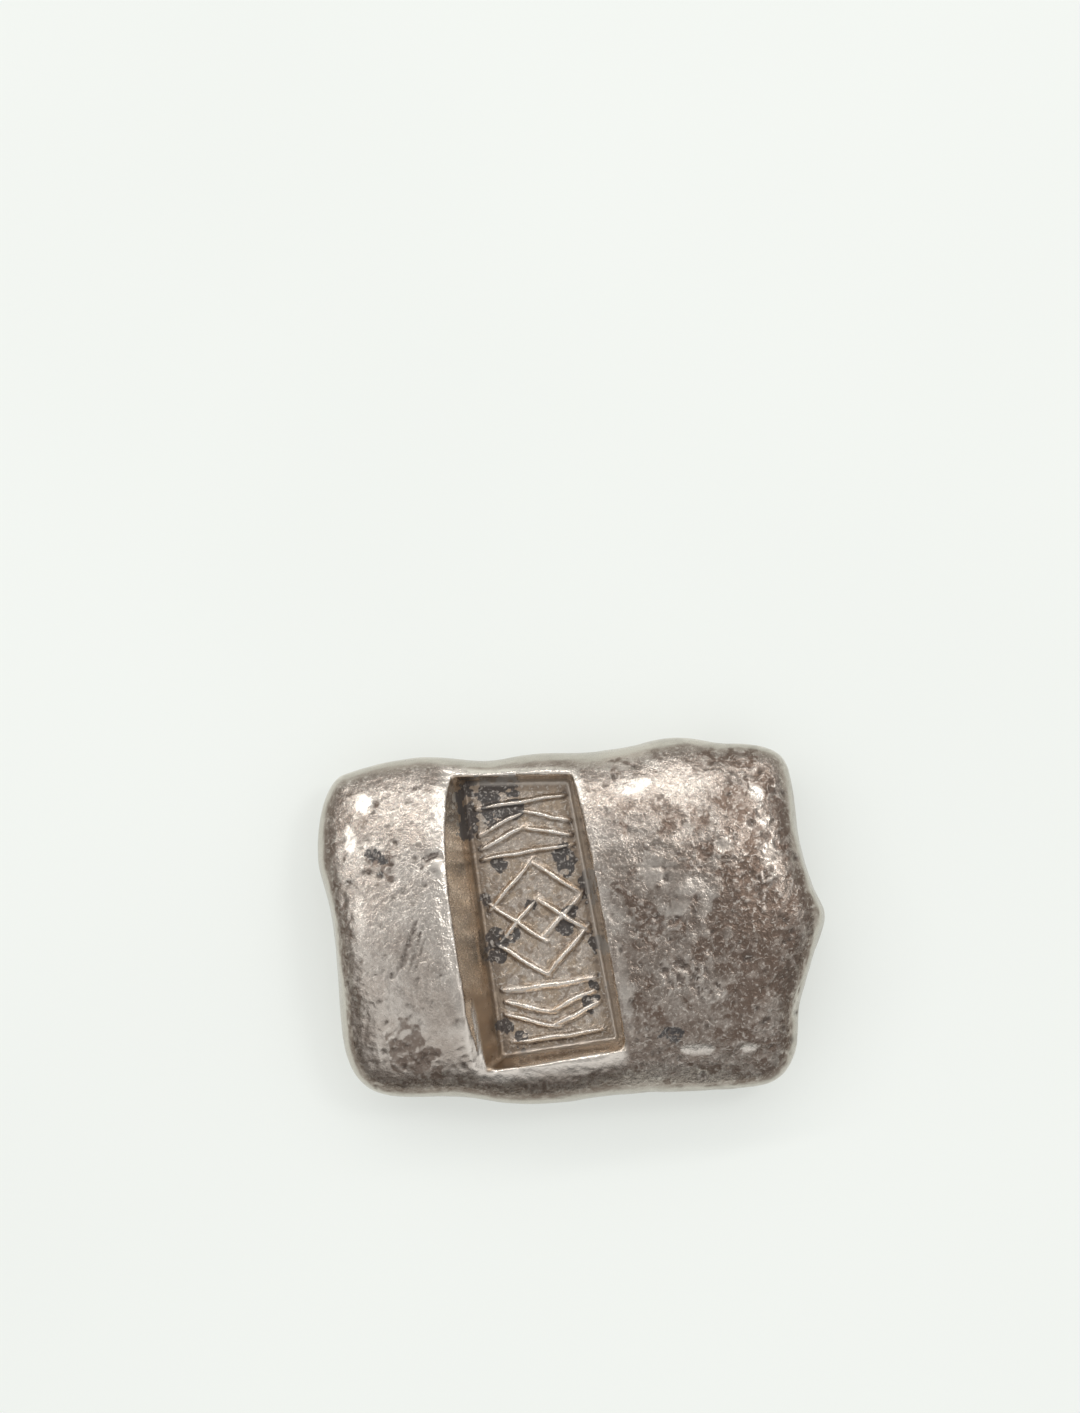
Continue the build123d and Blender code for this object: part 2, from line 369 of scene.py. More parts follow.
PLACED_MARKS = (
    # Painted highlights: smooth spots where the lamps' reflections fall, also brightened in colour.
    Mark(MarkKind.GLOSS_HIGHLIGHT, (-12.50, 7.85), 0.85, 0.0, 0.75, (-11.70, 8.40)),
    Mark(MarkKind.GLOSS_HIGHLIGHT, (-13.15, 6.90), 0.55, 0.0, 0.75, (-13.10, 5.30)),
    Mark(MarkKind.GLOSS_HIGHLIGHT, (-12.80, 2.90), 0.50, 0.0, 0.3, (-12.70, 0.40)),
    Mark(MarkKind.GLOSS_HIGHLIGHT, (3.40, 7.80), 0.50, 0.0, 0.7, (5.20, 8.30)),
    Mark(MarkKind.GLOSS_HIGHLIGHT, (11.20, 7.60), 0.65, 0.0, 0.9, (11.70, 6.80)),
    Mark(MarkKind.SLATE, (-11.62, 5.40), 0.75, 0.02, 0.8, (-11.80, 4.75)),
    Mark(MarkKind.SLATE, (-11.15, 4.85), 0.55, 0.02, 0.9, (-11.25, 4.55)),
    Mark(MarkKind.SLATE, (-11.50, 3.90), 0.55, 0.03, 0.8, (-11.25, 3.75)),
    Mark(MarkKind.STAIN, (-11.30, 4.30), 1.50, 0.02, 0.75),
    Mark(MarkKind.STAIN, (-12.60, 7.00), 0.60, 0.02, 0.6, (-12.00, 7.10)),
    Mark(MarkKind.STAIN, (-10.60, 6.10), 0.90, 0.02, 0.5, (-9.80, 5.90)),
    Mark(MarkKind.STAIN, (-11.50, 8.10), 0.50, 0.02, 0.6),
    Mark(MarkKind.PIT, (-12.05, 6.05), 0.38, 0.04, 0.6),
    Mark(MarkKind.PIT, (-13.62, 6.10), 0.38, 0.04, 0.6),
    Mark(MarkKind.PIT, (-13.45, 3.60), 0.50, 0.07, 0.8, (-13.20, 3.10)),
    Mark(MarkKind.PIT, (-9.38, 8.08), 0.38, 0.04, 0.6),
    Mark(MarkKind.PIT, (-11.40, 8.15), 0.38, 0.04, 0.6),
    Mark(MarkKind.PIT, (-10.30, 5.60), 0.38, 0.04, 0.6),
    Mark(MarkKind.PIT, (-9.25, 4.60), 0.38, 0.04, 0.6),
    Mark(MarkKind.SCRATCH, (-9.00, 4.00), 0.34, 0.08, 0.7, (-8.35, 4.80)),
    Mark(MarkKind.SCRATCH, (-8.80, 4.62), 0.36, 0.10, 0.9, (-7.75, 4.92)),
    Mark(MarkKind.SCRATCH, (-8.30, 4.90), 0.34, 0.08, 0.7, (-7.30, 4.52)),
    Mark(MarkKind.PALE, (-8.35, 4.20), 0.90, -0.05, 1.0, (-7.55, 3.80)),
    Mark(MarkKind.SCRATCH, (-9.42, 0.95), 0.40, 0.07, 0.8, (-10.45, -1.75)),
    Mark(MarkKind.SCRATCH, (-9.15, 0.40), 0.22, 0.04, 0.7, (-10.00, -1.90)),
    Mark(MarkKind.SCRATCH, (-8.95, -0.05), 0.20, 0.03, 0.6, (-9.75, -2.10)),
    Mark(MarkKind.SCRATCH, (-9.85, 0.10), 0.20, 0.03, 0.6, (-10.85, -2.20)),
    Mark(MarkKind.STAIN, (-11.40, -6.90), 1.60, 0.04, 1.0, (-10.40, -7.30)),
    Mark(MarkKind.STAIN, (-9.35, -7.60), 1.45, 0.03, 0.95),
    Mark(MarkKind.STAIN, (-11.60, -5.90), 1.80, 0.02, 0.8, (-9.60, -6.30)),
    Mark(MarkKind.STAIN, (-11.00, -6.50), 1.70, 0.00, 1.0, (-9.90, -7.20)),
    Mark(MarkKind.SCRATCH, (-11.95, -5.85), 0.20, -0.02, -0.35, (-11.30, -5.20)),
    Mark(MarkKind.SCRATCH, (-11.70, -6.20), 0.20, -0.02, -0.35, (-11.05, -5.60)),
    Mark(MarkKind.SCRATCH, (-12.35, -6.20), 0.20, -0.02, -0.25, (-12.10, -7.45)),
    Mark(MarkKind.SCRATCH, (-11.55, -7.45), 0.20, -0.02, -0.30, (-10.70, -8.20)),
    Mark(MarkKind.SCRATCH, (2.18, 3.40), 0.15, 0.03, 0.35, (8.51, 2.96)),
    Mark(MarkKind.SCRATCH, (5.72, 3.05), 0.28, 0.02, 0.90, (5.62, 2.30)),
    Mark(MarkKind.STAIN, (7.65, 3.78), 0.62, 0.03, 1.0, (8.35, 3.86)),
    Mark(MarkKind.STAIN, (8.27, 5.89), 0.70, 0.03, 0.8),
    Mark(MarkKind.STAIN, (11.00, 8.30), 1.10, 0.03, 0.9, (12.50, 7.35)),
    Mark(MarkKind.STAIN, (12.60, 6.80), 0.80, 0.02, 0.8, (13.00, 4.60)),
    Mark(MarkKind.STAIN, (11.62, 5.10), 0.95, 0.03, 1.0, (11.34, 4.10)),
    Mark(MarkKind.STAIN, (9.90, 7.70), 1.20, 0.02, 0.8, (10.30, 5.80)),
    Mark(MarkKind.CRUST, (11.60, 6.40), 0.90, 0.045, -0.1, (12.20, 1.50)),
    Mark(MarkKind.PALE, (4.20, 3.30), 1.40, 0.0, 0.6, (7.20, 1.70)),
    Mark(MarkKind.PALE, (11.50, 6.30), 0.50, 0.0, 0.8, (11.90, 5.20)),
    Mark(MarkKind.PALE, (11.80, 4.20), 0.55, 0.0, 0.9, (12.10, 2.40)),
    Mark(MarkKind.STAIN, (10.80, 4.40), 0.90, 0.03, 0.9, (10.40, 1.60)),
    Mark(MarkKind.STAIN, (10.40, 1.40), 1.90, 0.02, 0.9, (11.60, -0.40)),
    Mark(MarkKind.STAIN, (3.30, 1.00), 0.90, 0.04, 0.8, (5.30, 0.10)),
    Mark(MarkKind.CRUST, (3.20, 0.90), 1.00, 0.07, 0.2, (6.30, -0.40)),
    Mark(MarkKind.STAIN, (4.90, -0.05), 0.65, 0.03, 0.9, (4.70, -1.00)),
    Mark(MarkKind.PALE, (6.02, 0.96), 1.05, -0.02, 1.0, (6.35, 0.35)),
    Mark(MarkKind.PALE, (9.35, 4.60), 0.80, -0.01, 0.9, (9.15, 3.90)),
    Mark(MarkKind.PALE, (2.75, -3.60), 0.60, 0.0, 0.7, (2.85, -4.60)),
    Mark(MarkKind.PALE, (2.55, -1.20), 0.45, 0.0, 0.7, (3.00, -6.80)),
    Mark(MarkKind.CRUST, (4.80, -2.70), 1.30, 0.10, 0.3, (8.20, -4.20)),
    Mark(MarkKind.DENT, (6.09, -2.62), 0.70, 0.10, 0.5),
    Mark(MarkKind.DENT, (5.05, -2.95), 0.55, 0.08, 0.3),
    Mark(MarkKind.CRUST, (6.90, -3.40), 0.80, 0.09, -0.2, (7.60, -3.10)),
    Mark(MarkKind.CRUST, (7.40, -4.60), 0.70, 0.10, -0.2, (8.90, -4.80)),
    Mark(MarkKind.PIT, (10.14, -2.60), 0.55, 0.09, 1.0),
    Mark(MarkKind.STAIN, (10.20, -2.80), 1.00, 0.02, 0.7),
    Mark(MarkKind.STAIN, (3.54, -4.91), 1.30, 0.02, 0.6, (4.20, -6.20)),
    Mark(MarkKind.STAIN, (8.60, -5.60), 1.40, 0.02, 0.7, (10.90, -4.20)),
    Mark(MarkKind.STAIN, (11.84, 1.90), 1.30, 0.03, 0.9, (11.60, -1.60)),
    Mark(MarkKind.STAIN, (10.30, 2.20), 1.10, 0.03, 0.8, (9.20, 0.60)),
    Mark(MarkKind.STAIN, (9.40, 0.80), 1.20, 0.02, 0.8, (8.00, -0.60)),
    Mark(MarkKind.STAIN, (6.80, -1.60), 1.20, 0.02, 0.7, (9.00, -1.90)),
    Mark(MarkKind.STAIN, (12.60, -3.20), 1.00, 0.02, 0.7, (12.20, -5.00)),
    Mark(MarkKind.SLATE, (4.60, -7.00), 0.70, 0.02, 0.8, (6.00, -6.85)),
    # Painted glints: two raised lines on the near slope, brightened far past bared metal.
    Mark(MarkKind.SCRATCH, (5.90, -7.90), 0.45, 0.06, -1.6, (7.80, -8.00)),
    Mark(MarkKind.SCRATCH, (9.50, -8.07), 0.38, 0.05, -1.6, (10.40, -8.14)),
    Mark(MarkKind.PIT, (7.08, -9.35), 0.35, 0.12, 1.0, (7.14, -9.75)),
    Mark(MarkKind.PIT, (2.44, 6.62), 0.40, 0.04, 0.9),
    Mark(MarkKind.PIT, (9.85, 8.01), 0.45, 0.05, 0.9),
    Mark(MarkKind.STAIN, (11.29, -9.95), 0.80, 0.0, 0.7),
    Mark(MarkKind.STAIN, (2.60, 9.30), 0.80, 0.0, 0.6, (4.20, 9.35)),
)


DARK_TROUGH_SPOTS = (
    (-5.26, 1.80, 0.30),
    (-4.71, -0.66, 0.55),
    (-4.90, -1.45, 0.55),
    (-3.72, -0.35, 0.40),
    (-0.53, 4.50, 0.50),
    (-0.25, 3.65, 0.62),
    (1.08, 1.60, 0.42),
    (1.15, 2.60, 0.55),
    (-0.08, 0.53, 0.55),
    (-0.55, -0.10, 0.45),
    (1.36, -1.38, 0.50),
    (-3.63, -6.91, 0.50),
    (0.85, -4.80, 0.55),
    (1.25, -3.60, 0.45),
    (-4.27, 3.85, 0.40),
    (-2.57, 1.31, 0.35),
    # The next seven spots darken the far-left corner of the trough and its far wall almost to black.
    (-5.30, 8.30, 0.90),
    (-6.20, 7.60, 0.90),
    (-6.05, 6.50, 0.75),
    (-4.60, 7.30, 0.95),
    (-5.60, 6.90, 0.60),
    (-3.40, 8.60, 0.70),
    (-3.20, 7.20, 0.55),
    (-4.70, -6.00, 0.45),
)


@dataclass
class Casting:
    """The ingot itself: one casting, struck once, worn and tarnished, with painted shade and highlights in its
    colours.
    """

    body: str = "root"
    node: str = "ingot"
    slot: str = "silver"
    coarse: float = 0.275
    punch: Punch = field(default_factory=Punch)
    figure: Figure = field(default_factory=Figure)
    seed: int = 4

    def working_copy(self, node: bpy.types.Object) -> bpy.types.Object:
        """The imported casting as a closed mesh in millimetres.

        Args:
            node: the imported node.

        Returns:
            A new object that carries the copy.
        """
        work = bmesh.new()
        work.from_mesh(node.data)
        bmesh.ops.scale(work, vec=(1 / MM,) * 3, verts=work.verts)
        bmesh.ops.remove_doubles(work, verts=work.verts, dist=0.0005)
        mesh = bpy.data.meshes.new("casting_source")
        work.to_mesh(mesh)
        work.free()
        copy = bpy.data.objects.new("casting_source", mesh)
        bpy.context.scene.collection.objects.link(copy)
        return copy

    @staticmethod
    def evaluated(obj: bpy.types.Object) -> bpy.types.Mesh:
        """The object's mesh with its modifiers applied, as a new mesh."""
        graph = bpy.context.evaluated_depsgraph_get()
        graph.update()
        return bpy.data.meshes.new_from_object(obj.evaluated_get(graph), depsgraph=graph)

    def even_skin(self, source: bpy.types.Object) -> bpy.types.Mesh:
        """Gives the casting small even faces, and smaller ones wherever the struck face shows.

        Args:
            source: the casting in millimetres.

        Returns:
            A mesh that lies on the casting's surface.
        """
        remesh = source.modifiers.new("even", "REMESH")
        remesh.mode = "VOXEL"
        remesh.voxel_size = self.coarse
        even = self.evaluated(source)
        source.modifiers.remove(remesh)
        work = bmesh.new()
        work.from_mesh(even)
        work.normal_update()
        upper = [
            edge
            for edge in work.edges
            if all(v.co.z > 3.3 and (v.normal.z > 0.05 or v.co.z > 4.2) for v in edge.verts)
        ]
        bmesh.ops.subdivide_edges(work, edges=upper, cuts=1, use_grid_fill=True)
        places = self.punch.local(np.array([vert.co for vert in work.verts]))
        struck = (self.punch.outside(places) < -0.2) & (places[:, 2] < 0.5)
        work.verts.index_update()
        floor = [edge for edge in work.edges if all(struck[vert.index] for vert in edge.verts)]
        bmesh.ops.subdivide_edges(work, edges=floor, cuts=1, use_grid_fill=True)
        bmesh.ops.triangulate(work, faces=[face for face in work.faces if len(face.verts) > 4])
        work.to_mesh(even)
        work.free()
        carrier = bpy.data.objects.new("casting_even", even)
        bpy.context.scene.collection.objects.link(carrier)
        wrap = carrier.modifiers.new("wrap", "SHRINKWRAP")
        wrap.target = source
        wrap.wrap_method = "NEAREST_SURFACEPOINT"
        skin = self.evaluated(carrier)
        bpy.data.objects.remove(carrier)
        bpy.data.objects.remove(source)
        return skin

    def read(self, mesh: bpy.types.Mesh) -> Skin:
        """Reads the mesh's points, normals and edges into arrays."""
        count = len(mesh.vertices)
        points = np.empty(count * 3)
        normals = np.empty(count * 3)
        edges = np.empty(len(mesh.edges) * 2, dtype=np.int64)
        mesh.update()
        mesh.vertices.foreach_get("co", points)
        mesh.vertex_normals.foreach_get("vector", normals)
        mesh.edges.foreach_get("vertices", edges)
        return Skin(points.reshape(-1, 3), normals.reshape(-1, 3), edges.reshape(-1, 2))

    def renew(self, mesh: bpy.types.Mesh, skin: Skin) -> None:
        """Writes the points back to the mesh and takes its new normals into the skin."""
        mesh.vertices.foreach_set("co", skin.points.ravel())
        mesh.update()
        normals = np.empty(len(mesh.vertices) * 3)
        mesh.vertex_normals.foreach_get("vector", normals)
        skin.normals = normals.reshape(-1, 3)

    def strike_figure(self, skin: Skin) -> np.ndarray:
        """Levels the floor of the trough and raises the figure on it.

        Args:
            skin: the surface, whose points on the floor are moved.

        Returns:
            For each point, the height of the figure there.
        """
        local = self.punch.local(skin.points)
        outside = self.punch.outside(local)
        on_floor = (outside < -0.1) & (local[:, 2] < 0.55) & (local[:, 2] > -0.4)
        level = local.copy()
        level[on_floor, 2] *= smooth_step(-0.5, -0.2, outside[on_floor])
        skin.points = self.punch.world(level)
        skin.ease(on_floor.astype(float), 14)
        local = self.punch.local(skin.points)
        heights = np.zeros(len(local))
        for stroke in self.figure.strokes():
            heights = np.maximum(heights, stroke.ridge(local[:, 0], local[:, 1]))
        heights *= smooth_step(0.2, 0.45, -outside)
        heights[~on_floor] = 0.0
        struck = skin.points[on_floor]
        heights[on_floor] *= 1.0 + 0.25 * noise_field(struck, 0.7, 3, 31.0)
        rough = 0.014 * crumple_field(struck, 0.55, 2, 77.0) + 0.014 * noise_field(struck, 1.6, 3, 63.0)
        local[on_floor, 2] = heights[on_floor] + rough * smooth_step(0.25, 0.5, -outside[on_floor])
        skin.points = self.punch.world(local)
        return heights

    def wear_mouth(self, skin: Skin) -> None:
        """Rounds the edge of the trough's mouth, most of all at its near end, and bends its left lip down."""
        local = self.punch.local(skin.points)
        outside = self.punch.outside(local)
        near_mouth = smooth_step(0.9, 0.45, outside) * smooth_step(0.9, 1.3, local[:, 2])
        near_mouth *= smooth_step(4.3, 4.7, skin.points[:, 2])
        skin.ease(near_mouth * 0.6, 4)
        skin.ease(near_mouth * smooth_step(-6.4, -7.2, skin.points[:, 1]) * 0.8, 8)
        bent = smooth_step(1.0, -0.1, outside) * smooth_step(-2.6, -3.2, local[:, 0])
        bent *= smooth_step(-5.0, -3.0, skin.points[:, 1]) * smooth_step(4.3, 4.7, skin.points[:, 2])
        skin.points[:, 2] -= 0.12 * bent

    def second_blow(self, skin: Skin) -> np.ndarray:
        """The ledge that a glancing second blow left on the left flank, towards the near end.

        Args:
            skin: the surface, whose points beyond the ledge are moved.

        Returns:
            For each point, 1 along the ledge and 0 away from it.
        """
        x, y = skin.points[:, 0], skin.points[:, 1]
        ledge = -6.32 + (y + 4.77) * (0.33 / -3.05)
        left_of = ledge - x
        local = self.punch.local(skin.points)
        on_flank = (self.punch.outside(local) < 0.5) & (local[:, 2] > 0.4)
        fade = smooth_step(-8.6, -8.0, y) * smooth_step(-3.6, -5.0, y) * on_flank
        skin.push(-0.13 * fade * smooth_step(-0.06, 0.1, left_of) * smooth_step(0.75, 0.35, left_of))
        return fade * smooth_step(0.14, 0.0, np.abs(left_of))

    def cast_skin(self, skin: Skin) -> None:
        """Gives the skin the slow waves and the grain of metal that cooled in an open mould.

        Args:
            skin: the surface, moved everywhere but in the trough and on the resting face.
        """
        outside = self.punch.outside(self.punch.local(skin.points))
        free = smooth_step(-0.05, 0.45, outside) * smooth_step(0.02, 0.5, skin.points[:, 2])
        right_block = smooth_step(1.0, 4.0, skin.points[:, 0])
        slow = noise_field(skin.points, 5.5, 2, 3.0)
        short = noise_field(skin.points, 1.7, 2, 17.0)
        crumple = crumple_field(skin.points, 0.60, 2, 13.0) * (1.0 - right_block)
        crumple += crumple_field(skin.points, 0.95, 2, 13.0) * right_block
        grain = noise_field(skin.points, 0.36, 2, 41.0)
        upper = smooth_step(4.6, 5.6, skin.points[:, 2])
        depth = 0.07 * slow + (0.03 + 0.02 * right_block) * short
        depth += (0.15 + 0.85 * upper) * (0.020 + 0.004 * right_block) * crumple
        depth += (0.2 + 0.8 * upper) * 0.012 * grain
        skin.push(depth * free)

    def press_marks(self, skin: Skin, marks: tuple[Mark, ...]) -> dict[MarkKind, np.ndarray]:
        """Presses marks into the skin.

        Args:
            skin: the surface.
            marks: the marks to press.

        Returns:
            For each kind of mark, how strongly it tones each point. A dent or scratch that bares bright metal
            counts less than 0.
        """
        tones = {kind: np.zeros(len(skin.points)) for kind in MarkKind}
        outside = self.punch.outside(self.punch.local(skin.points))
        facing = smooth_step(0.05, 0.3, skin.normals[:, 2]) * smooth_step(0.0, 0.25, outside)
        ragged = 1.0 + 0.8 * noise_field(skin.points, 0.35, 2, 71.0)
        torn = 1.0 + 0.9 * noise_field(skin.points, 0.9, 3, 83.0)
        ridges = crumple_field(skin.points, 0.7, 2, 5.0)
        patches = (MarkKind.STAIN, MarkKind.SLATE, MarkKind.PALE, MarkKind.CRUST)
        for mark in marks:
            near = mark.nearness(skin.points)
            if mark.kind is not MarkKind.SCRATCH:
                near = np.clip(near * (torn if mark.kind in patches else ragged), 0.0, 1.0)
            near *= facing
            if mark.kind is MarkKind.CRUST:
                skin.push(mark.depth * smooth_step(0.0, 0.6, near) * ridges)
            else:
                skin.push(-mark.depth * near * near * (3.0 - 2.0 * near))
            low, high = (0.16, 0.42) if mark.kind in patches else (0.05, 0.75)
            tones[mark.kind] += mark.tone * smooth_step(low, high, near)
        return tones

    def handling(self) -> tuple[Mark, ...]:
        """Pits, dents and scratches scattered over the two blocks, the same at every run."""
        draw = random.Random(self.seed)
        marks = []
        for _ in range(40):
            place = (draw.uniform(-14.0, 14.0), draw.uniform(-9.5, 9.5))
            marks.append(Mark(MarkKind.DENT, place, draw.uniform(0.8, 1.8), draw.uniform(0.02, 0.075)))
        for number in range(260):
            right = number % 3 != 0
            x = draw.uniform(2.2, 13.6) if right else draw.uniform(-13.8, -6.9)
            place = (x, draw.uniform(-9.3, 9.3))
            size = draw.uniform(0.16, 0.34)
            marks.append(Mark(MarkKind.PIT, place, size, size * draw.uniform(0.08, 0.22), draw.uniform(0.2, 0.8)))
        for _ in range(90):
            start = (draw.uniform(-13.5, 13.5), draw.uniform(-9.0, 9.0))
            turn = draw.gauss(1.2, 0.7)
            length = draw.uniform(0.6, 2.2)
            end = (start[0] + length * math.cos(turn), start[1] + length * math.sin(turn))
            depth = draw.uniform(0.008, 0.025)
            marks.append(Mark(MarkKind.SCRATCH, start, 0.14, depth, draw.uniform(-0.2, 0.15), end))
        for _ in range(24):
            start = (draw.uniform(-12.2, -9.2), draw.uniform(-8.0, -5.4))
            turn = 0.8 + draw.uniform(-0.25, 0.25)
            length = draw.uniform(0.5, 1.1)
            end = (start[0] + length * math.cos(turn), start[1] + length * math.sin(turn))
            marks.append(Mark(MarkKind.SCRATCH, start, 0.17, 0.012, draw.uniform(-0.15, 0.5), end))
        return tuple(marks)

    def gas_pits(self, skin: Skin) -> None:
        """Sinks the small round pits that escaping gas left in the resting face."""
        draw = random.Random(self.seed + 1)
        facing = smooth_step(-0.5, -0.9, skin.normals[:, 2])
        inward = -skin.normals * facing[:, None]
        for _ in range(90):
            place = (draw.uniform(-12.0, 12.0), draw.uniform(-8.2, 8.2))
            size = draw.uniform(0.4, 1.5)
            near = Mark(MarkKind.PIT, place, size).nearness(skin.points)
            hollow = smooth_step(0.0, 0.7, near) * size * 0.16
            skin.points += inward * hollow[:, None]

    def fit_box(self, skin: Skin, low: np.ndarray, high: np.ndarray) -> None:
        """Brings the worked skin back to the casting's exact box.

        Args:
            skin: the surface.
            low: the box's lowest corner, in millimetres.
            high: the box's highest corner.
        """
        least = skin.points.min(axis=0)
        most = skin.points.max(axis=0)
        skin.points = low + (skin.points - least) * (high - low) / (most - least)

    @staticmethod
    def lips(local: np.ndarray, outside: np.ndarray, patch: np.ndarray) -> tuple[np.ndarray, np.ndarray]:
        """Finds the worn lips of the trough's mouth, where the colour is brightened as wear and as painted highlight.

        Args:
            local: the points over the floor of the trough.
            outside: how far they lie outside the punch.
            patch: a field that makes the lips uneven.

        Returns:
            The shares of the left lip and of the two end lips at each point.
        """
        band = smooth_step(1.05, 0.35, outside + 0.2 * patch) * smooth_step(-0.02, 0.10, outside)
        left = band * smooth_step(-2.6, -3.2, local[:, 0])
        width = 1.00 + 0.40 * smooth_step(0.0, -7.0, local[:, 1])
        ends = smooth_step(width, 0.10, outside + 0.25 * patch)
        ends *= smooth_step(-0.08, 0.03, outside) * smooth_step(0.6, 0.9, local[:, 2])
        ends *= smooth_step(6.2, 7.0, np.abs(local[:, 1])) * smooth_step(4.3, 3.6, np.abs(local[:, 0]))
        return left, ends

    def tone(
        self, skin: Skin, figure: np.ndarray, ledge: np.ndarray, marks: dict[MarkKind, np.ndarray]
    ) -> dict[str, np.ndarray]:
        """Works out where the metal is bright, brown, slate or grimy, and where painted shade, painted highlights and
        the floor's painted reflection go into its colour.

        Args:
            skin: the finished surface.
            figure: height of the figure at each point.
            ledge: how near each point is to the second blow's ledge.
            marks: how strongly each kind of mark tones each point.

        Returns:
            The share of each tone for each point, from 0 to 1, by the tone's name.
        """
        local = self.punch.local(skin.points)
        outside = self.punch.outside(local)
        x, y, z = skin.points.T
        bulge = skin.bulge()
        cloud = noise_field(skin.points, 3.6, 2, 9.0)
        patch = noise_field(skin.points, 1.1, 3, 27.0)
        speck = noise_field(skin.points, 0.5, 2, 55.0)

        in_trough = smooth_step(0.12, 0.05, outside)
        on_floor = in_trough * smooth_step(0.6, 0.35, local[:, 2]) * smooth_step(-0.1, -0.3, outside)
        flank = in_trough * (1.0 - on_floor)
        # Painted shade: a band of the floor along the foot of the flanks is browned, darkening the crease and its
        # fillet's reflection.
        rim = smooth_step(-0.85 + 0.25 * patch, -0.35, outside) * on_floor
        crest = smooth_step(0.15, 0.25, figure)
        # Painted shade: the crease where the floor meets the flanks is darkened with stain and dark patina.
        corner = in_trough * smooth_step(0.50, 0.25, local[:, 2]) * smooth_step(-0.75, -0.45, outside + 0.15 * patch)
        stroke = smooth_step(0.02, 0.10, figure)
        # Painted shade: the floor along the feet of the strokes, darkened as their shadow.
        foot = smooth_step(0.0, 0.03, skin.spread(figure, 6)) * (1.0 - smooth_step(0.02, 0.12, figure))

        block = 1.0 - in_trough
        left_flank = flank * smooth_step(-2.0, -3.0, local[:, 0])
        left_lip, end_lip = (lip * block for lip in self.lips(local, outside, patch))
        tilt = skin.normals[:, 2]
        # Painted shade: the steep band inside the outline, which mirrors the dim horizon, is darkened further in
        # colour.
        slope = smooth_step(0.93, 0.80, tilt + 0.06 * patch) * smooth_step(0.46, 0.62, tilt)
        # Painted reflection: the steeper outer band takes the pale, greenish colour of the floor it mirrors.
        edge = smooth_step(0.62, 0.46, tilt) * smooth_step(-0.20, 0.05, tilt)
        side = smooth_step(0.20, -0.10, tilt)
        right = smooth_step(1.2, 3.2, x + 0.6 * cloud)
        # Deeper towards the lower right: real tarnish, and painted shade on the side turned away from the lamps.
        lower = smooth_step(5.5, -1.5, y - 0.35 * (x - 4.0))
        tarnish_and_shade = 0.06 + right * (0.48 + 0.30 * lower)
        tarnish_and_shade += (0.20 + 0.30 * right) * smooth_step(-0.05, 0.40, patch + 0.6 * cloud)
        # Darker towards the near side, most of all on the right block.
        tarnish_and_shade += 0.25 * smooth_step(-7.9, -9.2, y) + 0.15 * right * smooth_step(-5.2, -6.2, y) * smooth_step(9.0, 7.0, x)
        # Painted shade on the steep band, less on the right block and on its far slope.
        tarnish_and_shade += slope * (0.85 - 0.35 * right - 0.40 * smooth_step(8.2, 9.4, y) * smooth_step(6.5, 3.5, x))
        # Painted highlight: the tarnish is cleared from the upper right block where the lamp's reflection falls, so
        # that it shows bright.
        tarnish_and_shade -= 0.55 * smooth_step(6.8, 7.8, y + 0.5 * patch) * smooth_step(9.2, 7.2, x) * right
        # Darker towards the right end; the left lip is cleared as part of its painted highlight.
        tarnish_and_shade += 0.30 * smooth_step(8.5, 10.5, x) - 0.25 * left_lip
        tarnish_and_shade -= 0.45 * smooth_step(0.30, 0.55, cloud - 0.3 * patch) * right
        pale = np.clip(marks[MarkKind.PALE] + marks[MarkKind.GLOSS_HIGHLIGHT], 0.0, 1.0)
        tarnish_and_shade -= 0.9 * pale
        # The outer band of the painted floor reflection is partly tarnished under its pale colour.
        tarnish_and_shade += edge * (0.55 - 0.25 * right)
        # Painted shade on the upright sides, together with real tarnish in patches.
        tarnish_and_shade += side * (0.20 + 0.6 * smooth_step(-0.1, 0.4, patch + 0.5 * cloud))
        # Painted shade: the upper part of the left block, where the lamps fall strongest, is dimmed in colour.
        tarnish_and_shade += 0.12 * smooth_step(4.5, 6.5, y) * (1.0 - right)
        tarnish_and_shade += 0.14 * smooth_step(3.5, 5.0, y) * smooth_step(7.8, 7.0, y) * right
        tarnish_and_shade += 0.20 * smooth_step(8.0, 9.5, x) * smooth_step(3.5, 2.0, y)
        tarnish_and_shade = np.clip(tarnish_and_shade - end_lip, 0.0, 1.0 - (0.20 + 0.15 * smooth_step(-7.9, -9.0, y)) * slope * right) * block

        # Painted shade: the steep band is also stained.
        stain = (0.55 * right * smooth_step(0.18, 0.40, patch - 0.3 * cloud) + (0.30 - 0.18 * right) * slope) * block
        stain += 0.35 * smooth_step(7.5, 9.5, x) * smooth_step(3.6, 2.0, y) * block
        # Painted highlight: the stain is cleared where the lamp's reflection falls on the upper right block.
        stain *= 1.0 - 0.8 * smooth_step(6.0, 7.2, y) * smooth_step(9.2, 7.2, x)
        stain += left_flank * (0.22 + 0.30 * smooth_step(1.0, 2.4, local[:, 2]))
        stain += 0.35 * left_flank * smooth_step(-2.5, -4.5, y)
        # Painted shade in the floor's crease.
        stain += 0.8 * corner
        stain += 0.75 * on_floor * smooth_step(0.10, 0.35, speck + 0.7 * cloud) * (1.0 - 0.7 * stroke)
        stain += np.clip(marks[MarkKind.STAIN], 0.0, 1.0) * (0.75 + 0.5 * speck)
        stain *= (1.0 - pale) * (1.0 - end_lip)

        brown = flank * (0.92 + 0.15 * patch)
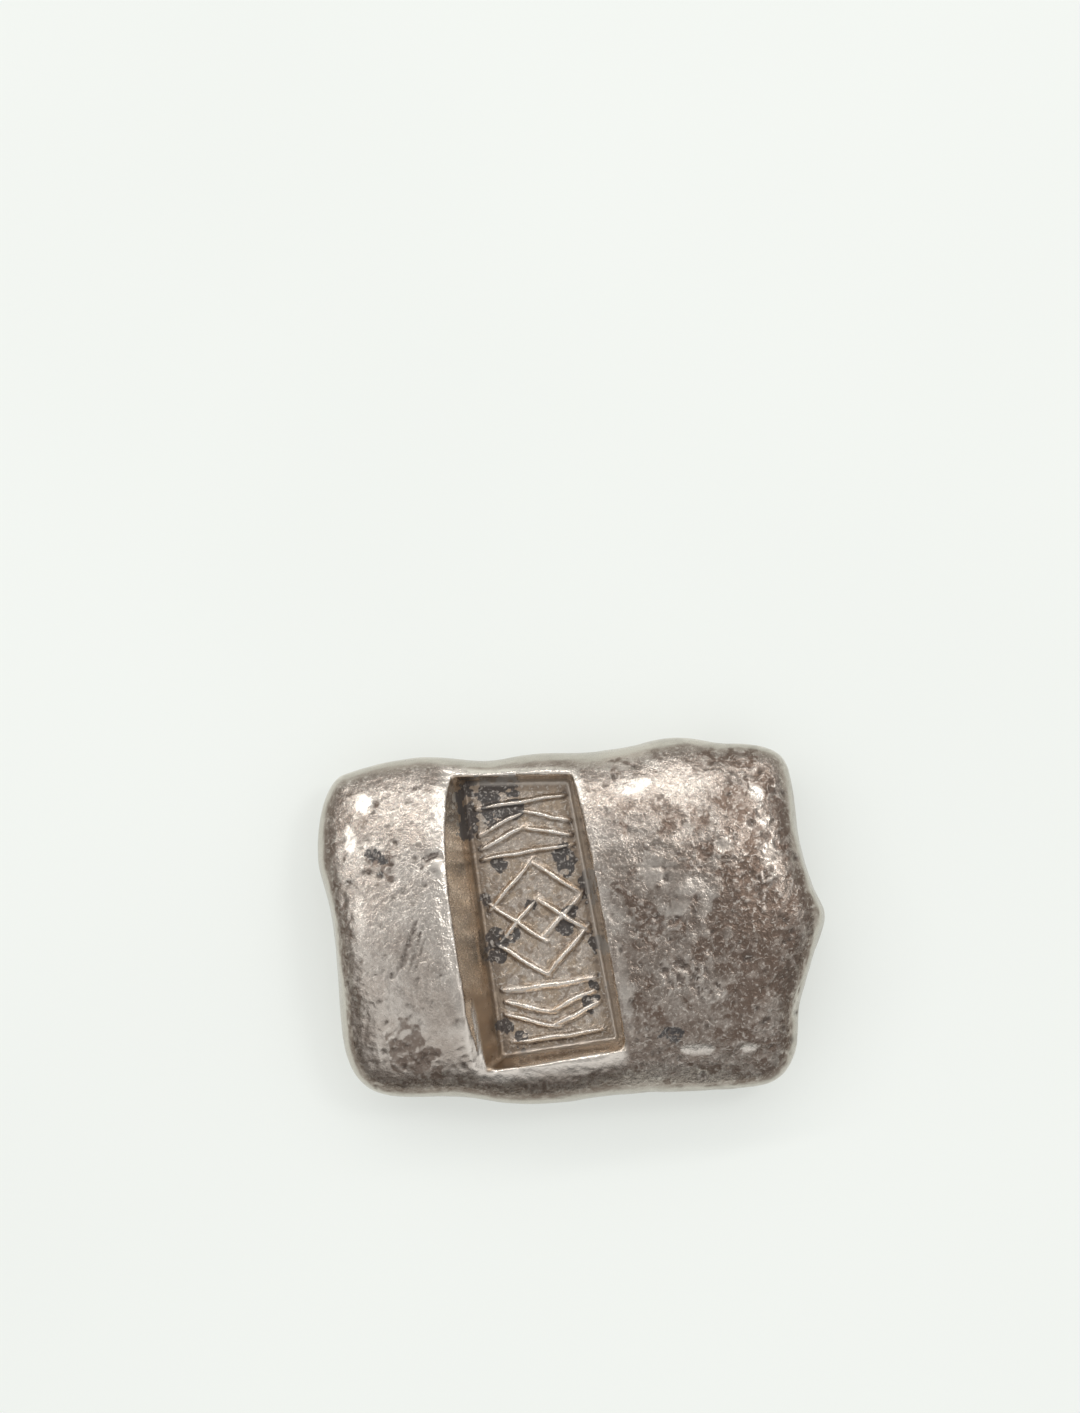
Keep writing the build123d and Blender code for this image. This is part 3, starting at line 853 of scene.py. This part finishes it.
        # Painted shade: the floor's band along the flanks and the feet of the strokes are browned.
        brown += on_floor * (0.45 + 0.55 * smooth_step(-0.15, 0.30, patch)) + 0.4 * rim + 0.15 * foot * on_floor
        brown -= 0.20 * stroke + 0.3 * crest + 0.6 * ledge

        slate = np.zeros(len(skin.points))
        for spot_x, spot_y, size in DARK_TROUGH_SPOTS:
            near = Mark(MarkKind.SLATE, (spot_x, spot_y), size * 1.7).nearness(skin.points)
            slate = np.maximum(slate, smooth_step(0.22, 0.40, near * (1.0 + 1.3 * patch + 1.1 * speck)))
        slate *= in_trough * (1.0 - 0.85 * crest)
        slate += marks[MarkKind.SLATE]

        rubbed = marks[MarkKind.PIT] + marks[MarkKind.DENT] + marks[MarkKind.SCRATCH] + marks[MarkKind.CRUST]
        grime_and_shade = 0.9 * smooth_step(0.008, 0.035, -bulge) * block * (1.0 - edge)
        grime_and_shade += np.clip(rubbed, 0.0, 1.0) * (0.6 + 0.4 * smooth_step(-0.3, 0.3, speck))
        # Painted shade: the feet of the strokes and the floor's crease are darkened.
        grime_and_shade += 0.7 * foot * on_floor + 0.6 * corner * (0.8 + 0.4 * speck)

        # Brightness: real wear on the high places and on bared metal, and painted highlights on the strokes' crests,
        # the ledge, the highlight spots, the lips and the outer band.
        polish_and_highlight = 0.6 * smooth_step(0.008, 0.035, bulge) * block * smooth_step(0.15, 0.50, outside)
        # The strokes' crests are brightened as worn high places and as painted highlight; the second blow's ledge gets
        # a painted highlight line.
        polish_and_highlight += 0.6 * crest + ledge + np.clip(-rubbed, 0.0, 1.0)
        # Painted highlight on the smooth highlight spots; the flanks other than the left one are brightened too.
        polish_and_highlight += marks[MarkKind.GLOSS_HIGHLIGHT] + 0.45 * (flank - left_flank)
        # Painted highlight, with some wear, on the mouth's left lip and end lips; the outer band is brightened as part
        # of its painted reflection.
        polish_and_highlight += (0.55 * left_lip + (1.1 + 0.5 * speck) * end_lip + 0.2 * edge) * block
        polish_and_highlight *= 1.0 - 0.8 * np.clip(rubbed, 0.0, 1.0)

        coarse = block * (1.0 - 0.10 * right) * np.maximum(smooth_step(0.50, 0.75, tilt), 0.7 * side)
        coarse *= (1.0 - 0.3 * left_lip - 0.7 * pale) * (1.0 - 0.5 * smooth_step(-1.5, -6.0, y) * (1.0 - right))
        coarse += on_floor * (1.0 - 0.7 * stroke) + 0.5 * corner
        tones = {
            "tarnish_and_shade": tarnish_and_shade,
            "stain": stain,
            "brown": brown,
            "slate": slate,
            "grime_and_shade": grime_and_shade,
            "polish_and_highlight": polish_and_highlight,
            "coarse": coarse,
            "edge": edge * block,
        }
        return {name: np.clip(share, 0.0, 1.0) for name, share in tones.items()}

    def build(self, node: bpy.types.Object, finish: "AgedSilver") -> bpy.types.Object:
        """Makes the dressed ingot.

        Args:
            node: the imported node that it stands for.
            finish: its metal.

        Returns:
            The finished piece, riding on its body.
        """
        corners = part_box(self.node)
        low, high = (np.array(corner) / MM for corner in corners)
        mesh = self.even_skin(self.working_copy(node))
        skin = self.read(mesh)
        self.cast_skin(skin)
        self.renew(mesh, skin)
        figure = self.strike_figure(skin)
        self.renew(mesh, skin)
        self.wear_mouth(skin)
        self.renew(mesh, skin)
        ledge = self.second_blow(skin)
        self.renew(mesh, skin)
        marks = self.press_marks(skin, PLACED_MARKS + self.handling())
        self.gas_pits(skin)
        self.fit_box(skin, low, high)
        self.renew(mesh, skin)
        for name, share in self.tone(skin, figure, ledge, marks).items():
            layer = mesh.attributes.new(name, "FLOAT", "POINT")
            layer.data.foreach_set("value", share.astype(np.float32))
        mesh.vertices.foreach_set("co", (skin.points * MM).ravel())
        mesh.update()
        mesh.shade_smooth()
        mesh.name = "struck_ingot"
        mesh.materials.append(finish.make())
        piece = bpy.data.objects.new("struck_ingot", mesh)
        bpy.context.scene.collection.objects.link(piece)
        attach(piece, self.body)
        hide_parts(self.node)
        triangles = sum(len(face.vertices) - 2 for face in mesh.polygons)
        log.info("struck_ingot: %d triangles, riding on %s", triangles, self.body)
        return piece


class Nodes:
    """A material's node tree, with short ways to add to it."""

    def __init__(self, material: bpy.types.Material) -> None:
        """Starts from the material's own shader and output."""
        material.use_nodes = True
        self.tree = material.node_tree
        self.shader = self.tree.nodes["Principled BSDF"]
        self.coordinates = self.tree.nodes.new("ShaderNodeTexCoord").outputs["Object"]

    def feed(self, socket: bpy.types.NodeSocket, value: bpy.types.NodeSocket | float | tuple) -> None:
        """Links a socket to another one, or sets its value."""
        if isinstance(value, bpy.types.NodeSocket):
            self.tree.links.new(value, socket)
        else:
            socket.default_value = value

    def attribute(self, name: str) -> bpy.types.NodeSocket:
        """The value of one of the mesh's own attributes."""
        node = self.tree.nodes.new("ShaderNodeAttribute")
        node.attribute_name = name
        return node.outputs["Fac"]

    def noise(self, size: float, detail: float, roughness: float = 0.55, warp: float = 0.0) -> bpy.types.NodeSocket:
        """Cloudy noise.

        Args:
            size: size of its clouds, in millimetres.
            detail: how many finer layers it has.
            roughness: how strong these layers are.
            warp: how far the clouds are drawn out of shape.

        Returns:
            The noise, from 0 to 1 with most of it near 0.5.
        """
        node = self.tree.nodes.new("ShaderNodeTexNoise")
        self.feed(node.inputs["Vector"], self.coordinates)
        self.feed(node.inputs["Scale"], 1.0 / (size * MM))
        self.feed(node.inputs["Detail"], detail)
        self.feed(node.inputs["Roughness"], roughness)
        self.feed(node.inputs["Distortion"], warp)
        return node.outputs["Fac"]

    def ridges(self, size: float, detail: float, warp: float = 0.0) -> bpy.types.NodeSocket:
        """Thin curved ridges, as in crumpled foil.

        Args:
            size: about the distance from one ridge to the next, in millimetres.
            detail: how many finer layers they have.
            warp: how far they are drawn out of shape.

        Returns:
            The height, from 0 in a hollow to about 1.5 on a ridge.
        """
        node = self.tree.nodes.new("ShaderNodeTexNoise")
        node.noise_type = "RIDGED_MULTIFRACTAL"
        self.feed(node.inputs["Vector"], self.coordinates)
        self.feed(node.inputs["Scale"], 1.0 / (size * MM))
        self.feed(node.inputs["Detail"], detail)
        self.feed(node.inputs["Roughness"], 0.5)
        self.feed(node.inputs["Lacunarity"], 2.0)
        self.feed(node.inputs["Offset"], 1.0)
        self.feed(node.inputs["Gain"], 2.0)
        self.feed(node.inputs["Distortion"], warp)
        return node.outputs["Fac"]

    def ramp(self, value: bpy.types.NodeSocket, low: float, high: float, least: float = 0.0, most: float = 1.0):
        """Spreads the part of a value between two limits over a new range.

        Args:
            value: the value.
            low: the limit that becomes least.
            high: the limit that becomes most.
            least: lower end of the new range.
            most: its upper end.

        Returns:
            The new value.
        """
        node = self.tree.nodes.new("ShaderNodeMapRange")
        node.interpolation_type = "SMOOTHSTEP"
        for name, entry in zip(("Value", "From Min", "From Max", "To Min", "To Max"), (value, low, high, least, most)):
            self.feed(node.inputs[name], entry)
        return node.outputs["Result"]

    def sum(self, kind: str, first: bpy.types.NodeSocket, second: bpy.types.NodeSocket | float):
        """Adds, multiplies or otherwise joins two values, held between 0 and 1."""
        node = self.tree.nodes.new("ShaderNodeMath")
        node.operation = kind
        node.use_clamp = True
        self.feed(node.inputs[0], first)
        self.feed(node.inputs[1], second)
        return node.outputs[0]

    def blend(self, share: bpy.types.NodeSocket, first, second) -> bpy.types.NodeSocket:
        """Mixes two colours.

        Args:
            share: how much of the second colour shows.
            first: the first colour.
            second: the second colour.

        Returns:
            The mixed colour.
        """
        node = self.tree.nodes.new("ShaderNodeMix")
        node.data_type = "RGBA"
        self.feed(node.inputs["Factor"], share)
        for socket, colour in zip([s for s in node.inputs if s.type == "RGBA"], (first, second)):
            self.feed(socket, colour if isinstance(colour, bpy.types.NodeSocket) else (*colour, 1.0))
        return next(s for s in node.outputs if s.type == "RGBA")


@dataclass(frozen=True)
class AgedSilver:
    """Cast silver, worn bright on its high places and tarnished where it is sheltered, with painted shade, highlights
    and glints, and the floor's painted reflection along its outer band.
    """

    name: str = "aged_silver"
    silver: tuple[float, float, float] = (0.55, 0.485, 0.425)
    pale: tuple[float, float, float] = (0.63, 0.575, 0.515)
    # Bright metal: worn high places, and the colour of painted highlights and glints.
    bright: tuple[float, float, float] = (0.90, 0.84, 0.76)
    tarnish_and_shade: tuple[float, float, float] = (0.205, 0.160, 0.131)
    umber: tuple[float, float, float] = (0.15, 0.105, 0.080)
    brown: tuple[float, float, float] = (0.455, 0.36, 0.27)
    slate: tuple[float, float, float] = (0.060, 0.057, 0.058)
    grime_and_shade: tuple[float, float, float] = (0.090, 0.070, 0.058)
    # Painted reflection: the pale floor's colour, laid on the steep outer band.
    edge: tuple[float, float, float] = (0.68, 0.665, 0.585)
    relief_depth: float = 0.00007

    def make(self) -> bpy.types.Material:
        """The metal as a material that reads the mesh's tones."""
        material = bpy.data.materials.new(self.name)
        nodes = Nodes(material)
        cloud = nodes.noise(2.4, 4.0)
        patch = nodes.noise(0.75, 5.0, 0.6, 0.4)
        speck = nodes.noise(0.24, 3.0, 0.6)
        grain = nodes.noise(0.15, 2.0, 0.5, 0.6)
        tarnish_and_shade = nodes.attribute("tarnish_and_shade")
        stain = nodes.attribute("stain")
        brown = nodes.attribute("brown")
        slate = nodes.attribute("slate")
        grime_and_shade = nodes.attribute("grime_and_shade")
        polish_and_highlight = nodes.attribute("polish_and_highlight")
        coarse = nodes.attribute("coarse")

        edge = nodes.attribute("edge")
        wrinkle = nodes.ridges(0.36, 2.0, 0.6)
        # Painted glints, with real wear: the crests of fine ridges are brightened, sparsely where the speck noise is
        # high.
        worn = nodes.sum("MULTIPLY", nodes.ramp(wrinkle, 0.95, 1.50), coarse)
        worn = nodes.sum("MULTIPLY", worn, nodes.ramp(speck, 0.48, 0.60))
        hollow = nodes.sum("MULTIPLY", nodes.ramp(wrinkle, 0.70, 0.35), coarse)

        colour = nodes.blend(nodes.ramp(cloud, 0.38, 0.64), self.silver, self.pale)
        share = nodes.sum("MULTIPLY", tarnish_and_shade, nodes.ramp(wrinkle, 0.6, 1.5, 1.0, 0.88))
        share = nodes.sum("MULTIPLY", share, nodes.ramp(patch, 0.36, 0.58, 0.75, 1.0))
        colour = nodes.blend(share, colour, self.tarnish_and_shade)
        share = nodes.ramp(nodes.sum("ADD", stain, nodes.ramp(patch, 0.3, 0.7, -0.22, 0.22)), 0.30, 0.65)
        colour = nodes.blend(nodes.sum("MULTIPLY", share, 0.75), colour, self.umber)
        share = nodes.sum("MULTIPLY", brown, nodes.ramp(patch, 0.30, 0.62, 0.70, 1.0))
        colour = nodes.blend(share, colour, self.brown)
        share = nodes.sum("ADD", slate, nodes.ramp(patch, 0.3, 0.7, -0.25, 0.25))
        share = nodes.ramp(nodes.sum("ADD", share, nodes.ramp(speck, 0.3, 0.7, -0.3, 0.3)), 0.40, 0.70)
        stained = nodes.sum("MULTIPLY", share, nodes.sum("MULTIPLY", slate, 4.0))
        colour = nodes.blend(nodes.sum("MULTIPLY", stained, 0.92), colour, self.slate)
        # Painted reflection of the floor on the steep outer band.
        colour = nodes.blend(nodes.sum("MULTIPLY", edge, 0.45), colour, self.edge)
        # Dark patina in hollows and marks, and painted shade at the strokes' feet and the floor's crease.
        dirt_and_shade = nodes.sum("MULTIPLY", grime_and_shade, nodes.ramp(speck, 0.30, 0.60, 0.5, 1.0))
        colour = nodes.blend(nodes.sum("MAXIMUM", dirt_and_shade, nodes.sum("MULTIPLY", hollow, 0.15)), colour, self.grime_and_shade)
        # Brightened by wear and by painted highlights and glints.
        wear_and_highlight = nodes.sum("MAXIMUM", nodes.sum("MULTIPLY", polish_and_highlight, 0.75), nodes.sum("MULTIPLY", worn, 0.45))
        colour = nodes.blend(wear_and_highlight, colour, self.bright)
        nodes.feed(nodes.shader.inputs["Base Color"], colour)

        dull = nodes.sum("MAXIMUM", nodes.sum("MULTIPLY", stained, 0.6), nodes.sum("MULTIPLY", dirt_and_shade, 0.5))
        nodes.feed(nodes.shader.inputs["Metallic"], nodes.ramp(dull, 0.0, 1.0, 1.0, 0.35))
        rough = nodes.ramp(speck, 0.3, 0.7, 0.20, 0.32)
        rough = nodes.sum("ADD", rough, nodes.sum("MULTIPLY", dull, 0.35))
        rough = nodes.sum("ADD", rough, nodes.sum("MULTIPLY", stain, 0.12))
        rough = nodes.sum("SUBTRACT", rough, nodes.sum("MULTIPLY", wear_and_highlight, 0.12))
        nodes.feed(nodes.shader.inputs["Roughness"], rough)

        relief = nodes.tree.nodes.new("ShaderNodeBump")
        relief.inputs["Strength"].default_value = 1.0
        relief.inputs["Distance"].default_value = self.relief_depth
        height = nodes.sum("ADD", nodes.sum("MULTIPLY", speck, 0.50), nodes.sum("MULTIPLY", grain, 0.35))
        height = nodes.sum("ADD", height, nodes.ramp(wrinkle, 0.3, 1.6, 0.0, 0.2))
        nodes.feed(relief.inputs["Height"], nodes.sum("MULTIPLY", height, coarse))
        nodes.feed(nodes.shader.inputs["Normal"], relief.outputs["Normal"])
        return material


@dataclass(frozen=True)
class PaleFloor:
    """A plain matt floor, a little green in its white."""

    name: str = "pale_floor"
    colour: tuple[float, float, float] = (0.86, 0.90, 0.88)
    glow: tuple[float, float, float] = (0.915, 0.935, 0.885)
    glow_share: float = 0.5
    roughness: float = 0.9

    def make(self) -> bpy.types.Material:
        """The floor's material, which shows its paleness to the camera and in the metal, and keeps the shadow."""
        material = bpy.data.materials.new(self.name)
        nodes = Nodes(material)
        paler = tuple(min(part * 1.04, 1.0) for part in self.colour)
        cloud = nodes.ramp(nodes.noise(60.0, 2.0), 0.35, 0.65)
        nodes.feed(nodes.shader.inputs["Base Color"], nodes.blend(cloud, self.colour, paler))
        nodes.feed(nodes.shader.inputs["Roughness"], self.roughness)
        path = nodes.tree.nodes.new("ShaderNodeLightPath")
        seen = nodes.sum("MAXIMUM", path.outputs["Is Camera Ray"], path.outputs["Is Glossy Ray"])
        seen = nodes.sum("MAXIMUM", seen, path.outputs["Is Transmission Ray"])
        glow = nodes.tree.nodes.new("ShaderNodeEmission")
        glow.inputs["Color"].default_value = (*self.glow, 1.0)
        mix = nodes.tree.nodes.new("ShaderNodeMixShader")
        nodes.feed(mix.inputs["Fac"], nodes.sum("MULTIPLY", seen, self.glow_share))
        nodes.tree.links.new(nodes.shader.outputs["BSDF"], mix.inputs[1])
        nodes.tree.links.new(glow.outputs["Emission"], mix.inputs[2])
        nodes.tree.links.new(mix.outputs["Shader"], nodes.tree.nodes["Material Output"].inputs["Surface"])
        return material


@dataclass(frozen=True)
class Lamp:
    """One soft lamp that is turned to the ingot."""

    name: str
    place: tuple[float, float, float]
    width: float
    height: float
    power: float
    colour: tuple[float, float, float] = (1.0, 1.0, 1.0)

    def light(self) -> None:
        """Hangs the lamp."""
        data = bpy.data.lights.new(self.name, "AREA")
        data.shape = "RECTANGLE"
        data.size = self.width
        data.size_y = self.height
        data.energy = self.power
        data.color = self.colour
        lamp = bpy.data.objects.new(self.name, data)
        lamp.location = self.place
        lamp.rotation_euler = (-Vector(self.place)).to_track_quat("-Z", "Y").to_euler()
        bpy.context.scene.collection.objects.link(lamp)


@dataclass(frozen=True)
class Studio:
    """A pale floor, soft lamps and a camera straight above."""

    floor_radius: float = 1.5
    floor_gap: float = 0.00002
    zenith: float = 0.42
    shoulder: float = 1.0
    horizon: float = 0.18
    far_side: float = 0.20
    lens: float = 100.0
    film_height: float = 36.0
    camera_place: tuple[float, float, float] = (-0.00113, 0.01324, 0.2408)
    camera_turn: float = -4.0
    lamps: tuple[Lamp, ...] = (
        Lamp("window", (-0.057, 0.324, 0.307), 0.80, 0.028, 0.53, (1.0, 0.975, 0.94)),
        Lamp("side", (0.219, 0.137, 0.369), 0.10, 0.10, 0.24, (1.0, 0.98, 0.96)),
        Lamp("left", (-0.333, 0.120, 0.277), 0.07, 0.07, 0.05, (1.0, 0.98, 0.96)),
    )

    def build(self) -> None:
        """Makes the floor, the light and the camera."""
        self.floor()
        self.world()
        for lamp in self.lamps:
            lamp.light()
        self.camera()
        log.info("studio: floor, %d lamps and the camera", len(self.lamps))

    def floor(self) -> None:
        """Lays a round floor just under the resting face."""
        work = bmesh.new()
        bmesh.ops.create_circle(work, cap_ends=True, segments=64, radius=self.floor_radius)
        bmesh.ops.translate(work, vec=(0.0, 0.0, -self.floor_gap), verts=work.verts)
        mesh = bpy.data.meshes.new("floor")
        work.to_mesh(mesh)
        work.free()
        mesh.materials.append(PaleFloor().make())
        floor = bpy.data.objects.new("floor", mesh)
        bpy.context.scene.collection.objects.link(floor)

    def world(self) -> None:
        """Lights the scene softly from above and the far side, and shows white where the camera sees past it."""
        world = bpy.data.worlds.new("studio")
        world.use_nodes = True
        tree = world.node_tree
        sky = tree.nodes["Background"]
        sky.inputs["Color"].default_value = (1.0, 1.0, 1.0, 1.0)
        way = tree.nodes.new("ShaderNodeTexCoord")
        parts = tree.nodes.new("ShaderNodeSeparateXYZ")
        tree.links.new(way.outputs["Generated"], parts.inputs["Vector"])
        rise = tree.nodes.new("ShaderNodeValToRGB")
        rise.color_ramp.interpolation = "B_SPLINE"
        stops = rise.color_ramp.elements
        while len(stops) < 5:
            stops.new(0.5)
        levels = (self.horizon, self.horizon + 0.25, self.shoulder, self.shoulder, self.zenith)
        for stop, place, level in zip(stops, (0.0, 0.30, 0.58, 0.80, 0.97), levels):
            stop.position = place
            stop.color = (level, level, level, 1.0)
        tree.links.new(parts.outputs["Z"], rise.inputs["Fac"])
        across = tree.nodes.new("ShaderNodeMath")
        across.operation = "MULTIPLY_ADD"
        across.inputs[1].default_value = self.far_side
        tree.links.new(parts.outputs["Y"], across.inputs[0])
        tree.links.new(rise.outputs["Color"], across.inputs[2])
        tree.links.new(across.outputs[0], sky.inputs["Strength"])
        white = tree.nodes.new("ShaderNodeBackground")
        white.inputs["Color"].default_value = (1.0, 1.0, 1.0, 1.0)
        path = tree.nodes.new("ShaderNodeLightPath")
        mix = tree.nodes.new("ShaderNodeMixShader")
        tree.links.new(path.outputs["Is Camera Ray"], mix.inputs["Fac"])
        tree.links.new(sky.outputs["Background"], mix.inputs[1])
        tree.links.new(white.outputs["Background"], mix.inputs[2])
        tree.links.new(mix.outputs["Shader"], tree.nodes["World Output"].inputs["Surface"])
        bpy.context.scene.world = world

    def camera(self) -> None:
        """Sets the camera straight above, turned as the ingot lay."""
        data = bpy.data.cameras.new("camera")
        data.lens = self.lens
        data.sensor_fit = "VERTICAL"
        data.sensor_height = self.film_height
        data.clip_start = 0.001
        camera = bpy.data.objects.new("camera", data)
        camera.location = self.camera_place
        camera.rotation_euler = (0.0, 0.0, math.radians(self.camera_turn))
        bpy.context.scene.collection.objects.link(camera)
        bpy.context.scene.camera = camera


def main() -> None:
    """Builds the dressed ingot in its studio."""
    logging.basicConfig(level=logging.INFO, format="%(message)s")
    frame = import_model()
    casting = Casting()
    casting.build(frame["nodes"][casting.node], AgedSilver())
    Studio().build()
    bpy.context.scene.view_settings.view_transform = "Standard"


if __name__ == "__main__":
    main()
